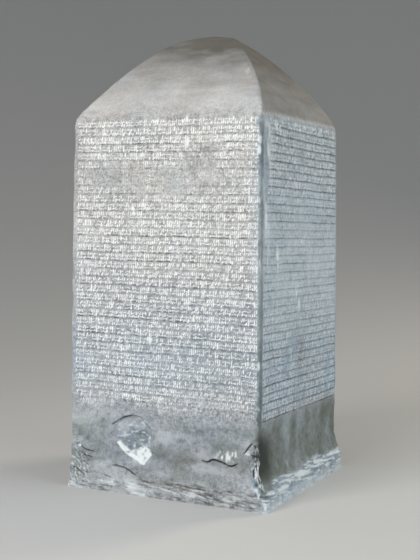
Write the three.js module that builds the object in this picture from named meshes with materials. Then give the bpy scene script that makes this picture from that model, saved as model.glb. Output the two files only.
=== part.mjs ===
// A carved stone stele: one four-sided standing stone, slightly narrower at the top than at the foot,
// with a low domed head of four curved faces and a rough-hewn foot that spreads into a lip.
// One solid. Millimetres, +Z up, standing on z = 0, front face towards -Y, right face towards +X.
import * as THREE from 'three';
import { mergeVertices } from 'three/addons/utils/BufferGeometryUtils.js';

// ---- Driving dimensions ----
const HEIGHT = 1110;
const SPRING = 894; // height of the crease where the upright faces end and the head begins
const FRONT_FOOT = 256; // half the front's width at the ground
const FRONT_TOP = 248; // half the front's width at the crease
const SIDE_FOOT = 248; // half the right side's width at the ground
const SIDE_TOP = 240.5; // half the right side's width at the crease

// The head: its four arrises run up to a crown that lies off the middle, each with its own curve.
const RISE = HEIGHT - SPRING;
const CROWN = { x: 19, y: 24 };
const CROWN_ROUNDING = 0.095; // share of the head's radius over which its top is blunted
const CROWN_LEAN = 4.5; // how soon above the crease the head leans towards its crown
const ARRIS_CURVE = { frontRight: 1.58, backRight: 1.3, backLeft: 1.6, frontLeft: 1.97 };
const CREASE_WEAR = 3; // how far the crease is worn in
const CREASE_BAND = 12; // height over which it is worn

// Arris radii: tight on the shaft, opening out until the four faces melt together at the crown.
const ARRIS_RADIUS = 5;
const ARRIS_RADIUS_CROWN = 26;
const ROUNDEST = 0.9;

// The foot: a shallow waist above a spreading lip. The lip stands upright below its edge, an uneven
// line given on each side as [place along the side, height], and slopes back to the waist above it.
// Its reach is given as [at the start of the side, at its end].
const WAIST = { height: 130, band: 55, depth: 3 };
const LIP_SLOPE = { height: 62, curve: 1.3 };
const LIP = {
  front: { reach: [6, 3], edge: [[-255, 12], [-130, 22], [0, 20], [140, 26], [215, 28], [250, 22]] },
  right: { reach: [22, 11], edge: [[-245, 18], [-190, 48], [-35, 34], [15, 48], [130, 40], [248, 34]] },
  back: { reach: [17, 19], edge: [[-255, 36], [-120, 48], [20, 30], [150, 46], [255, 34]] },
  left: { reach: [2, 8], edge: [[-245, 20], [-90, 32], [60, 26], [160, 40], [248, 36]] },
};

// Old losses. The scar is a flake gone from the lower left of the front, as a convex outline of
// [x, z] corners, each side with the width of the slope that leads down into it.
const SCAR = {
  depth: 9,
  corners: [[-137, 163], [-96, 188], [-52, 187], [-28, 152], [-30, 106], [-46, 70], [-96, 98], [-119, 124]],
  slopes: [5, 4, 7, 14, 24, 22, 16, 10],
};
const GOUGE = { y: -211, width: 21, z: 124, tall: 44, depth: 9 }; // hollow beside the near arris
const CORNER_BREAK = { x: 232, width: 30, z: 112, tall: 38, depth: 4 }; // flaked front of that corner

// Hand-dressed faces are never quite flat: a slow swell on the shaft, stronger on head and foot.
const SWELL = { shaft: 0.7, rough: 2.2, waves: 7, length: 210, footTop: 190 };

// How finely the blank is divided.
const SIDES = 80; // around, a multiple of 8 so that vertices fall on the arrises
const ARC_STEPS = 2; // steps from the end of a flat face to the middle of an arris
const UNDERSIDE_RINGS = 2;
const FOOT_RINGS = 15;
const SHAFT_RINGS = 8;
const HEAD_RINGS = 12;

const BLANK_RADIUS = 100;
const mix = THREE.MathUtils.lerp;
const smooth = THREE.MathUtils.smoothstep;
const clamp = THREE.MathUtils.clamp;
const bell = (value, middle, width) => Math.exp(-(((value - middle) / width) ** 2));

// Height along a polyline of [place, height] points.
function along(points, place) {
  const last = points.length - 1;
  if (place <= points[0][0]) return points[0][1];
  for (let i = 0; i < last; i++) {
    const [x0, z0] = points[i];
    const [x1, z1] = points[i + 1];
    if (place <= x1) return mix(z0, z1, (place - x0) / (x1 - x0));
  }
  return points[last][1];
}

// A slow swell: a few sine waves in directions a golden angle apart.
function swell(x, y, z) {
  let sum = 0;
  for (let i = 1; i <= SWELL.waves; i++) {
    const turn = i * 2.4;
    const tilt = Math.sin(i * 1.7);
    const step = (x * Math.cos(turn) + y * Math.sin(turn)) * Math.cos(tilt) + z * Math.sin(tilt);
    sum += Math.sin((step * 2 * Math.PI * Math.sqrt(i)) / SWELL.length + 1.3 * i);
  }
  return sum / Math.sqrt(SWELL.waves);
}

// The blank's profile: [share of the radius, height] from the underside's middle to the crown.
function blankProfile() {
  const points = [];
  for (let i = 0; i < UNDERSIDE_RINGS; i++) points.push([i / UNDERSIDE_RINGS, 0]);
  for (let i = 0; i < FOOT_RINGS; i++) points.push([1, (SWELL.footTop * i) / FOOT_RINGS]);
  const shaftTop = SPRING - 2 * CREASE_BAND;
  for (let i = 0; i <= SHAFT_RINGS; i++) points.push([1, mix(SWELL.footTop, shaftTop, i / SHAFT_RINGS)]);
  points.push([1, SPRING - CREASE_BAND / 2]);
  for (let i = 0; i < HEAD_RINGS; i++) points.push([1 - (i / HEAD_RINGS) ** 1.25, SPRING]);
  points.push([0, SPRING]);
  return points.map(([share, z]) => new THREE.Vector2(share * BLANK_RADIUS, z));
}

// A turned angle becomes a place on a square of half side 1 with rounded corners.
function squareUp(turn, rounding) {
  const quarter = turn / (Math.PI / 2);
  const face = Math.round(quarter);
  const offset = quarter - face;
  const flatEnd = 0.5 - (ARC_STEPS * 4) / SIDES;
  const straight = 1 - rounding;
  let across = (offset / flatEnd) * straight;
  let out = 1;
  if (Math.abs(offset) > flatEnd) {
    const swing = ((Math.abs(offset) - flatEnd) / (0.5 - flatEnd)) * (Math.PI / 4);
    across = Math.sign(offset) * (straight + rounding * Math.sin(swing));
    out = straight + rounding * Math.cos(swing);
  }
  const angle = face * (Math.PI / 2);
  return {
    x: out * Math.sin(angle) + across * Math.cos(angle),
    y: -out * Math.cos(angle) + across * Math.sin(angle),
  };
}

// How far the foot stands out from the shaft's own line: waist below zero, lip above it.
function footReach(side, place, z) {
  const [first, last] = [side.edge[0][0], side.edge[side.edge.length - 1][0]];
  const reach = mix(side.reach[0], side.reach[1], clamp((place - first) / (last - first), 0, 1));
  const top = along(side.edge, place);
  const lip = clamp((top + LIP_SLOPE.height - z) / LIP_SLOPE.height, 0, 1) ** LIP_SLOPE.curve;
  const waist = WAIST.depth * bell(z, WAIST.height, WAIST.band);
  return reach * lip - waist * (1 - lip);
}

// Depth inside the scar: each side slopes down from its own edge, and the shallowest one rules.
function scarDepth(x, z) {
  let share = 1;
  SCAR.corners.forEach(([x0, z0], i) => {
    const [x1, z1] = SCAR.corners[(i + 1) % SCAR.corners.length];
    const inside = ((z - z0) * (x0 - x1) + (x - x0) * (z1 - z0)) / Math.hypot(x1 - x0, z1 - z0);
    share = Math.min(share, clamp(inside / SCAR.slopes[i], 0, 1));
  });
  return SCAR.depth * share;
}

// The exponent of the head's curve at a turn, running evenly from one arris to the next.
function headCurve(turn) {
  const curves = [ARRIS_CURVE.frontLeft, ARRIS_CURVE.frontRight, ARRIS_CURVE.backRight, ARRIS_CURVE.backLeft];
  const quarter = (turn / (Math.PI / 2) + 0.5 + 4) % 4;
  const from = Math.floor(quarter);
  return mix(curves[from], curves[(from + 1) % 4], quarter - from);
}

// Where a point of the turned blank comes to lie on the dressed stone.
function dress(point) {
  const share = Math.hypot(point.x, point.y) / BLANK_RADIUS;
  const turn = Math.atan2(point.x, -point.y);
  const onHead = point.z >= SPRING - 0.001;
  const rise = onHead ? 1 - share : 0;
  const radius = mix(ARRIS_RADIUS, ARRIS_RADIUS_CROWN, rise);
  const rounding = Math.min(ROUNDEST, radius / (FRONT_TOP * Math.max(share, 0.01)));
  const ring = squareUp(turn, rounding);
  const blunt = Math.hypot(share, CROWN_ROUNDING) - CROWN_ROUNDING;
  const fall = blunt / (Math.hypot(1, CROWN_ROUNDING) - CROWN_ROUNDING);
  const z = onHead ? SPRING + RISE * (1 - fall ** headCurve(turn)) : point.z;

  const up = Math.min(z, SPRING) / SPRING;
  const halfX = mix(FRONT_FOOT, FRONT_TOP, up);
  const halfY = mix(SIDE_FOOT, SIDE_TOP, up);
  const sideX = ring.x > 0 ? LIP.right : LIP.left;
  const sideY = ring.y > 0 ? LIP.back : LIP.front;
  const reachX = onHead ? 0 : footReach(sideX, ring.y * halfY, z);
  const reachY = onHead ? 0 : footReach(sideY, ring.x * halfX, z);
  const worn = CREASE_WEAR * bell(z, SPRING, CREASE_BAND);
  const rough = clamp(smooth(SWELL.footTop - z, 0, 120) + smooth(z, SPRING, SPRING + 60), 0, 1);
  const wave = swell(point.x, point.y, z) * mix(SWELL.shaft, SWELL.rough, rough);

  const lean = onHead ? 1 - share ** CROWN_LEAN : 0;
  const x = CROWN.x * lean + share * ring.x * (halfX + reachX - worn + wave);
  const y = CROWN.y * lean + share * ring.y * (halfY + reachY - worn + wave);
  if (point.z <= 0 || onHead) return new THREE.Vector3(x, y, z);

  const front = clamp(-ring.y * 4 - 3, 0, 1);
  const right = clamp(ring.x * 4 - 3, 0, 1);
  const broken = CORNER_BREAK.depth * bell(x, CORNER_BREAK.x, CORNER_BREAK.width);
  const flaked = broken * bell(z, CORNER_BREAK.z, CORNER_BREAK.tall);
  const gouged = GOUGE.depth * bell(y, GOUGE.y, GOUGE.width) * bell(z, GOUGE.z, GOUGE.tall);
  return new THREE.Vector3(x - gouged * right, y + (scarDepth(x, z) + flaked) * front, z);
}

// Turn the blank, dress it, and set the middle of its bounding box over the origin.
function steleGeometry() {
  const blank = new THREE.LatheGeometry(blankProfile(), SIDES);
  blank.rotateX(Math.PI / 2);
  blank.deleteAttribute('normal');
  blank.deleteAttribute('uv');
  const stone = mergeVertices(blank, 0.001);
  const position = stone.getAttribute('position');
  const point = new THREE.Vector3();
  for (let i = 0; i < position.count; i++) {
    point.fromBufferAttribute(position, i);
    const dressed = dress(point);
    position.setXYZ(i, dressed.x, dressed.y, dressed.z);
  }
  stone.computeBoundingBox();
  const middle = stone.boundingBox.getCenter(new THREE.Vector3());
  stone.translate(-middle.x, -middle.y, 0);
  stone.computeVertexNormals();
  return stone;
}

const stone = new THREE.MeshStandardMaterial({ color: 0xa9afb2, roughness: 0.85, metalness: 0 });
const stele = new THREE.Mesh(steleGeometry(), stone);
stele.name = 'stele';

const object = new THREE.Group();
object.add(stele);

export default object;
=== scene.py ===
"""A carved stone stele: one standing stone with a domed head, inscribed faces and a rough foot.

The stone's surface is one function: a turned blank, squared up, tapered, domed and dressed. The body
is that surface on a ring grid. The carving needs a closer mesh than one piece can hold, so each
inscribed stretch is a thin closed panel let into the body, flush with its face, with the strokes
cut into it. Lengths are metres. Faces are numbered 0 front (-Y), 1 right (+X), 2 back, 3 left, and
"across" runs from each face's left edge to its right as seen from outside.
"""

import bpy
import numpy as np
from mathutils import Matrix, Vector


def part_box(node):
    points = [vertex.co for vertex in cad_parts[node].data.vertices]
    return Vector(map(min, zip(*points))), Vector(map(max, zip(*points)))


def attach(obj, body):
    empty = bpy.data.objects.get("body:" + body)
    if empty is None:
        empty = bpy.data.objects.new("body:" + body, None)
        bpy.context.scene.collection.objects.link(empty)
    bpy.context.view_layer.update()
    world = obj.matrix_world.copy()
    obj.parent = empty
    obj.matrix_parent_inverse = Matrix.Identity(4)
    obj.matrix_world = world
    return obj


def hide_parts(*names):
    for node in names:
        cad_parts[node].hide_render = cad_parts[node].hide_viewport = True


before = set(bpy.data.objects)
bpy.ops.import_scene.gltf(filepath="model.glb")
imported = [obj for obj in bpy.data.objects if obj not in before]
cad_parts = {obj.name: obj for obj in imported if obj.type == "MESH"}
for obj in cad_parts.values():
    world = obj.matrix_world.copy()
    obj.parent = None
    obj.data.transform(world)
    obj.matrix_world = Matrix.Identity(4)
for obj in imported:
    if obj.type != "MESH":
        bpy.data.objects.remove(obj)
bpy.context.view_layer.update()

# ---- The stone's form ----
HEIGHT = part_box("stele")[1][2]
SPRING = 0.894  # the crease where the upright faces end and the head begins
RISE = HEIGHT - SPRING
FRONT_FOOT, FRONT_TOP = 0.256, 0.248  # half the front's width, at the ground and at the crease
SIDE_FOOT, SIDE_TOP = 0.248, 0.2405  # half the right side's width
CROWN_X, CROWN_Y = 0.019, 0.024  # where the crown lies, off the middle
CROWN_ROUNDING = 0.095  # how bluntly the four curves meet
CROWN_LEAN = 4.5  # how soon the head leans over towards its crown
ARRIS_CURVE = [1.97, 1.58, 1.30, 1.60]  # front left, front right, back right, back left
CREASE_WEAR, CREASE_BAND = 0.003, 0.012
ARRIS_RADIUS, ARRIS_RADIUS_CROWN = 0.005, 0.026
ROUNDEST = 0.9  # the most rounded a level section of the crown may be
FLAT_END = 0.4  # the flat part of a quarter turn ends this far either side of its middle

WAIST_HEIGHT, WAIST_BAND, WAIST_DEPTH = 0.130, 0.055, 0.003
LIP_SLOPE, LIP_CURVE = 0.062, 1.3  # how tall the slope above a lip is, and how it bends
# Each lip: its reach at the start and end of the side, and its uneven edge as (place, height).
LIP_FRONT = ((0.006, 0.003), [(-0.255, 0.012), (-0.13, 0.022), (0, 0.020), (0.14, 0.026),
                              (0.215, 0.028), (0.25, 0.022)])
LIP_RIGHT = ((0.022, 0.011), [(-0.245, 0.018), (-0.19, 0.048), (-0.035, 0.034), (0.015, 0.048),
                              (0.13, 0.040), (0.248, 0.034)])
LIP_BACK = ((0.017, 0.019), [(-0.255, 0.036), (-0.12, 0.048), (0.02, 0.030), (0.15, 0.046),
                             (0.255, 0.034)])
LIP_LEFT = ((0.002, 0.008), [(-0.245, 0.020), (-0.09, 0.032), (0.06, 0.026), (0.16, 0.040),
                             (0.248, 0.036)])

# ---- Old losses and marks, placed on the front as (x, height) ----
# The lost flake: its outline, and how far in each of its sides slopes down to the floor.
SCAR_DEPTH = 0.010
SCAR = [(-0.137, 0.163), (-0.104, 0.185), (-0.076, 0.192), (-0.050, 0.186), (-0.028, 0.152),
        (-0.030, 0.106), (-0.046, 0.070), (-0.096, 0.098), (-0.119, 0.124)]
SCAR_SLOPES = [0.003, 0.002, 0.003, 0.006, 0.016, 0.020, 0.014, 0.009, 0.009]
# The white patch in the flake's lower corner, and the course of its pale lower edge: both freshly
# broken stone, lightened with painted highlight where they face up.
BRUISE_AND_HIGHLIGHT = [(-0.088, 0.103), (-0.064, 0.113), (-0.041, 0.117), (-0.025, 0.113), (-0.022, 0.098),
          (-0.044, 0.073)]
BRUISE_AND_HIGHLIGHT_EDGE = 0.0035
SCAR_EDGE = [(-0.115, 0.120), (-0.104, 0.108), (-0.088, 0.098), (-0.064, 0.087), (-0.046, 0.077)]
WISP = [(-0.030, 0.112), (-0.034, 0.128), (-0.030, 0.142)]
CRACKS_AND_SHADE_LINES = [  # half width, depth, course
    (0.0031, 0.009, [(0.108, 0.101), (0.123, 0.099), (0.136, 0.108), (0.161, 0.102),
                     (0.184, 0.094), (0.200, 0.105)]),
    (0.0026, 0.008, [(0.213, 0.127), (0.222, 0.139), (0.234, 0.153)]),
    (0.0028, 0.007, [(-0.133, 0.065), (-0.112, 0.064), (-0.094, 0.061), (-0.080, 0.054),
                     (-0.066, 0.048)]),
    (0.0022, 0.004, [(-0.154, 0.038), (-0.133, 0.034)]),
    (0.0036, 0.007, [(-0.252, 0.119), (-0.236, 0.114)]),
    (0.0020, 0.004, [(-0.232, 0.108), (-0.220, 0.099), (-0.205, 0.093), (-0.183, 0.090)]),
    (0.0020, 0.004, [(-0.224, 0.086), (-0.205, 0.079), (-0.188, 0.077)]),
    (0.0022, 0.004, [(-0.243, 0.050), (-0.226, 0.044), (-0.207, 0.031)]),
    # These two follow the flake's upper outline: painted shade under its undercut edge, cut in as thin
    # cracks
    (0.0019, 0.003, [(-0.136, 0.161), (-0.106, 0.182), (-0.078, 0.190), (-0.054, 0.186)]),
    (0.0017, 0.003, [(-0.066, 0.172), (-0.050, 0.176), (-0.040, 0.172), (-0.026, 0.157)]),
    (0.0028, 0.006, [(0.224, 0.130), (0.236, 0.125), (0.246, 0.112), (0.250, 0.096)]),
    (0.0030, 0.006, [(0.238, 0.148), (0.245, 0.138), (0.247, 0.124)]),
    (0.0024, 0.005, [(0.243, 0.104), (0.236, 0.092), (0.240, 0.076)]),
]
# Ovals from here on: place along the face, height, radius across, radius up. Chips add a depth.
CHIPS = [(-0.249, 0.118, 0.010, 0.006, 0.006), (-0.230, 0.102, 0.006, 0.005, 0.005),
         (-0.247, 0.012, 0.008, 0.005, 0.004), (0.222, 0.130, 0.010, 0.007, 0.005),
         (0.246, 0.834, 0.010, 0.013, 0.006), (0.243, 0.812, 0.009, 0.013, 0.004),
         (0.248, 0.560, 0.005, 0.016, 0.004), (0.249, 0.330, 0.005, 0.012, 0.004),
         (0.228, 0.976, 0.010, 0.009, 0.004), (0.246, 0.700, 0.005, 0.010, 0.003)]
# White smears on the front.
SMEARS = [(0.060, 0.884, 0.004, 0.013), (0.061, 0.833, 0.008, 0.012), (0.213, 0.629, 0.010, 0.006),
          (-0.031, 0.372, 0.006, 0.010), (0.156, 0.118, 0.011, 0.012), (0.175, 0.116, 0.008, 0.015),
          (0.190, 0.121, 0.008, 0.015), (0.148, 0.111, 0.009, 0.004), (-0.160, 0.560, 0.012, 0.004)]
# White streaks on the right face.
WHITE_STREAKS = [(-0.034, 0.490, 0.010, 0.024), (-0.017, 0.452, 0.008, 0.020), (-0.150, 0.565, 0.012, 0.040),
        (0.003, 0.604, 0.012, 0.008), (-0.068, 0.344, 0.006, 0.020), (-0.150, 0.868, 0.020, 0.010)]
GOUGE, GOUGE_DEPTH = (-0.238, 0.118, 0.066, 0.056), 0.007  # the hollow on the right face
BREAK, BREAK_DEPTH = (0.243, 0.120, 0.022, 0.032), 0.005  # the broken near corner
DAMP, DULL_LEFT = (0.168, 0.132, 0.044, 0.024), (-0.222, 0.145, 0.030, 0.026)  # green spots
BRIGHT_LIP, PALE_LEFT = (-0.085, 0.022, 0.060, 0.015), (-0.20, 0.185, 0.05, 0.045)  # pale spots
RUST_SPOT, RAIN = (0.15, 0.160, 0.06, 0.030), (-0.005, 0.335, 0.010, 0.04)  # on the right face
CROWN_SPOT = (0.075, 1.070, 0.06, 0.03)  # a darker patch of the crown's skin
CLEAR_RULES = (-0.22, 0.38, 0.07, 0.09)  # where the front's ruled lines have stayed clearest
FRONT_PLACE = -SIDE_TOP - 0.004  # about where the front's plane lies
RUST_LINES = ((0.037, 0.0020, 1.0), (0.029, 0.0015, 0.8))  # height, width and strength of each

# ---- The inscription ----
ROW = 0.0196  # from one row of strokes to the next
ROWS = 35
LEFT_ROWS = 29
FIELD_TOP = 0.888
FIELD_FOOT = FIELD_TOP - ROWS * ROW
LEFT_FOOT = FIELD_TOP - LEFT_ROWS * ROW
PANEL_FOOT = 0.004
SLOPE_FRONT, SLOPE_RIGHT = 0.0067, 0.0144  # how the rows run down to the right, in radians
RECESS = 0.018  # how deep the body is let in behind a panel
PANEL_RIM = 0.009  # how far back a panel's wall goes
STEP_IN = 0.0004  # how far inside a panel's edge the body is let in


def smooth(value, low, high):
    """The smooth step: 0 below low, 1 above high, easing between."""
    share = np.clip((value - low) / (high - low), 0, 1)
    return share * share * (3 - 2 * share)


def below(value, low, high):
    """The smooth step turned over: 1 below low, 0 above high."""
    return 1 - smooth(value, low, high)


def bell(value, middle, width):
    """A bell: 1 at the middle, falling off over the width on both sides."""
    return np.exp(-(((value - middle) / width) ** 2))


def oval(along, up, spot):
    """A soft oval: a bell across times a bell up."""
    middle, level, wide, tall = spot
    return bell(along, middle, wide) * bell(up, level, tall)


def noise(points, cell, seed):
    """Value noise from -1 to 1: a random number at each corner of a cubic lattice of the cell's
    size, blended across the cell by the smooth step."""
    scaled = points / cell
    base = np.floor(scaled).astype(np.int64)
    share = scaled - base
    share = share * share * (3 - 2 * share)
    total = np.zeros(points.shape[:-1])
    for corner in range(8):
        step = [corner & 1, (corner >> 1) & 1, corner >> 2]
        key = seed * 374761393
        weight = np.ones(points.shape[:-1])
        for axis, prime in enumerate((73856093, 19349663, 83492791)):
            key = key ^ ((base[..., axis] + step[axis]) * prime)
            part = share[..., axis]
            weight = weight * (part if step[axis] else 1 - part)
        key = (key ^ (key >> 13)) * 1274126177 & 0x7FFFFFFF
        key = (key ^ (key >> 16)) * 668265263 & 0x7FFFFFFF
        total += weight * ((key & 0xFFFF) / 32767.5 - 1)
    return total


def layered(points, cell, seed, layers=3):
    """Noise in layers, each half the size and half the strength of the one before."""
    total = sum(noise(points, cell / 2**i, seed + i) / 2**i for i in range(layers))
    return total / (2 - 0.5 ** (layers - 1))


def ring_square(ring, rounding):
    """A place on a square of half side 1 with rounded corners. The ring runs 0 to 4, one face to
    each whole number; the flat of a face is straight, and the arris is a quarter circle."""
    face = np.round(ring)
    offset = ring - face
    straight = 1 - rounding
    swing = (np.abs(offset) - FLAT_END) / (0.5 - FLAT_END) * (np.pi / 4)
    on_arris = swing > 0
    across = np.where(on_arris, np.sign(offset) * (straight + rounding * np.sin(swing)),
                      offset / FLAT_END * straight)
    out = np.where(on_arris, straight + rounding * np.cos(swing), 1.0)
    angle = face * np.pi / 2
    return (out * np.sin(angle) + across * np.cos(angle),
            -out * np.cos(angle) + across * np.sin(angle))


def foot_reach(lip, place, z):
    """How far the foot stands out from the shaft's line: full reach below the lip's edge, then a
    curved slope back to a shallow waist above it."""
    reach, edge = lip
    ends = [edge[0][0], edge[-1][0]]
    top = np.interp(place, [x for x, _ in edge], [height for _, height in edge])
    share = np.clip((top + LIP_SLOPE - z) / LIP_SLOPE, 0, 1) ** LIP_CURVE
    waist = WAIST_DEPTH * bell(z, WAIST_HEIGHT, WAIST_BAND)
    return np.interp(place, ends, reach) * share - waist * (1 - share)


def dressed(ring, share, z):
    """The dressed stone without its relief. Share is 1 on the upright faces, and on the head falls
    to 0 at the crown, where the height is the spring plus the rise less share to the arris curve."""
    head = share < 1
    share_in = np.where(z > 0, 1 - share, 0)
    radius = ARRIS_RADIUS + (ARRIS_RADIUS_CROWN - ARRIS_RADIUS) * share_in
    rounding = np.minimum(ROUNDEST, radius / (FRONT_TOP * np.maximum(share, 0.01)))
    unit_x, unit_y = ring_square(ring, rounding)
    curve = np.interp((ring + 0.5) % 4, range(5), ARRIS_CURVE + ARRIS_CURVE[:1])
    blunt = np.hypot(share, CROWN_ROUNDING) - CROWN_ROUNDING
    fall = blunt / (np.hypot(1, CROWN_ROUNDING) - CROWN_ROUNDING)
    on_head = head & (z > 0)
    height = np.where(on_head, SPRING + RISE * (1 - fall**curve), z)

    up = np.minimum(height, SPRING) / SPRING
    half_x = FRONT_FOOT + (FRONT_TOP - FRONT_FOOT) * up
    half_y = SIDE_FOOT + (SIDE_TOP - SIDE_FOOT) * up
    place_x, place_y = unit_x * half_x, unit_y * half_y
    reach_x = np.where(unit_x > 0, foot_reach(LIP_RIGHT, place_y, height),
                       foot_reach(LIP_LEFT, place_y, height))
    reach_y = np.where(unit_y > 0, foot_reach(LIP_BACK, place_x, height),
                       foot_reach(LIP_FRONT, place_x, height))
    worn = CREASE_WEAR * bell(height, SPRING, CREASE_BAND)
    lean = np.where(on_head, 1 - share**CROWN_LEAN, 0)
    x = CROWN_X * lean + share * unit_x * (half_x - worn + np.where(on_head, 0, reach_x))
    y = CROWN_Y * lean + share * unit_y * (half_y - worn + np.where(on_head, 0, reach_y))
    return np.stack([x, y, height], -1), unit_x, unit_y


def inside_outline(x, z, outline, slopes):
    """0 outside a convex outline to 1 well inside: each side slopes in from its own edge over its
    own width, and the least of them rules."""
    share = np.ones(np.shape(x))
    for (x0, z0), (x1, z1), slope in zip(outline, outline[1:] + outline[:1], slopes):
        inside = ((z - z0) * (x0 - x1) + (x - x0) * (z1 - z0)) / np.hypot(x1 - x0, z1 - z0)
        share = np.minimum(share, np.clip(inside / slope, 0, 1))
    return share


def rounded(course):
    """A broken line with its corners cut twice, each side parted at its quarters."""
    for _ in range(2):
        points = np.array(course)
        near, far = points[:-1] * 0.75 + points[1:] * 0.25, points[:-1] * 0.25 + points[1:] * 0.75
        course = np.concatenate([points[:1], np.stack([near, far], 1).reshape(-1, 2), points[-1:]])
    return course


def course_distance(x, z, course):
    """The distance from each point to the nearest part of a broken line, and how far along the
    line that part is, 0 to 1."""
    best, along = np.full(np.shape(x), 9.0), np.zeros(np.shape(x))
    count = len(course) - 1
    for i, ((x0, z0), (x1, z1)) in enumerate(zip(course, course[1:])):
        run_x, run_z = x1 - x0, z1 - z0
        share = np.clip(((x - x0) * run_x + (z - z0) * run_z) / (run_x**2 + run_z**2), 0, 1)
        away = np.hypot(x - x0 - share * run_x, z - z0 - share * run_z)
        along = np.where(away < best, (i + share) / count, along)
        best = np.minimum(best, away)
    return best, along


def dashes(along, across, length, width, seed):
    """Short tool marks: noise stretched along one direction, cut off so that only its crests are
    left, 0 to 1."""
    flat = np.stack([along / length, across / width, 0 * along], -1)
    return smooth(noise(flat, 1.0, seed) + 0.4 * noise(flat, 0.37, seed + 1), 0.22, 0.62)


def dressing(points, on):
    """The mason's surface and its weathering: long waves, grain, pits, the hewn foot, the rougher
    head and knocks along the arrises."""
    z = points[..., 2]
    foot = below(z, 0.03, 0.17)
    head = smooth(z, SPRING + 0.002, SPRING + 0.06)
    bare = below(z, 0.17, 0.22)
    out = 0.0007 * layered(points, 0.16, 11)
    out += 0.00022 * noise(points, 0.006, 12)
    out += (0.0005 * head + 0.0006 * bare) * layered(points, 0.022, 13)
    out += 0.0013 * head * layered(points, 0.075, 14)
    hewn = 1 - 2 * np.abs(layered(points * [1, 1, 1.6], 0.048, 15))
    out += foot * (0.0020 * (hewn - 0.6) + 0.0012 * layered(points, 0.017, 16))
    pits = smooth(noise(points, 0.013, 17), 0.62, 0.95)
    out -= 0.0011 * pits * np.clip(head * 0.8 + bare + 0.25, 0, 1)
    knocks = smooth(layered(points, 0.05, 18), 0.10, 0.55)
    out -= 0.0036 * on["arris"] * knocks * (1 - 0.6 * head)
    return out


def lay(marks, name, amount):
    """Lay an amount over a mark: wherever the two differ, the stronger stays."""
    marks[name] = np.maximum(marks[name], amount)


def scar_marks(points, on, marks):
    """The lost flake: a mottled floor darkened with painted shade, and its pale lower edge and the
    white patch in its corner: freshly broken stone lightened with painted highlight.
    """
    x, z = points[..., 0], points[..., 2]
    ragged = 0.0030 * layered(points, 0.014, 19, 2)
    scar = inside_outline(x + ragged, z + ragged * 0.7, SCAR, SCAR_SLOPES) * on["front"]
    streaky = layered(points * [0.45, 1, 1.3], 0.016, 20)
    edge, _ = course_distance(x, z + ragged, rounded(SCAR_EDGE))
    broken = smooth(layered(points, 0.010, 27, 2), -0.55, -0.1)
    band = below(edge, 0.0032, 0.0062) * broken
    frayed = 0.0022 * layered(points, 0.006, 46, 2)
    bruise_and_highlight = inside_outline(x + frayed, z + ragged + frayed, BRUISE_AND_HIGHLIGHT, [BRUISE_AND_HIGHLIGHT_EDGE] * len(BRUISE_AND_HIGHLIGHT))
    bruise_and_highlight = bruise_and_highlight * (1 - 0.6 * smooth(layered(points, 0.009, 28, 2), 0.0, 0.45))
    wisp, _ = course_distance(x, z, rounded(WISP))
    # Painted highlight on the freshly broken stone of the lower edge and the corner patch
    fresh_and_highlight = np.maximum.reduce([band, bruise_and_highlight, 0.6 * below(wisp, 0.0015, 0.004) * broken])
    lay(marks, "fresh_and_highlight", fresh_and_highlight * on["front"])
    dabbed = layered(points * [1, 1, 1.5], 0.007, 56, 2)
    # The flake's floor: a blue-grey tint and painted shade, so that the hollow reads darker
    lay(marks, "cool", 0.5 * scar * smooth(streaky, -0.5, 0.2))
    lay(marks, "shade", scar * (0.08 + 0.34 * smooth(streaky, -0.1, 0.4)))
    lay(marks, "fresh_and_highlight", 0.55 * scar * smooth(dabbed, 0.15, 0.5))
    return -SCAR_DEPTH * scar * (0.85 + 0.22 * streaky)


def crack_marks(points, on, marks):
    """Cracks, thin at both ends, among them painted shade lines under the flake's undercut upper edge;
    chips, and white smears and streaks.
    """
    x, y, z = points[..., 0], points[..., 1], points[..., 2]
    out = np.zeros(np.shape(x))
    wander = 0.0016 * layered(points, 0.011, 23, 2)
    scratchy = layered(points * [1.4, 1, 0.8], 0.007, 47, 2)
    for half_width, depth, course in CRACKS_AND_SHADE_LINES:
        away, along = course_distance(x, z + wander, rounded(course))
        half = 0.7 * half_width * (1 - 0.75 * np.abs(2 * along - 1) ** 2.2) + 0.0003
        near = below(away, 0.15 * half, half) * on["front"]
        out -= depth * near
        dark = below(away, 0.3 * half, 1.1 * half) * on["front"]
        lay(marks, "shade", dark)
    for *spot, depth in CHIPS:
        dent = oval(x, z, spot) * on["beside_front"]
        out -= depth * dent * (1 + 0.5 * noise(points, 0.007, 24))
        lay(marks, "fresh_and_highlight", 0.75 * smooth(dent, 0.3, 0.8))
    for spot in SMEARS:
        smear = oval(x + wander, z, spot) * on["front"]
        smear = smooth(smear, 0.15, 0.8) * smooth(scratchy, -0.45, 0.15)
        lay(marks, "fresh_and_highlight", 0.9 * smear)
    for spot in WHITE_STREAKS:
        run = oval(y + wander, z, spot) * on["right"]
        run = smooth(run, 0.10, 0.9) * smooth(scratchy, -0.5, 0.2)
        lay(marks, "fresh_and_highlight", 0.85 * run)
    return out


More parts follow.
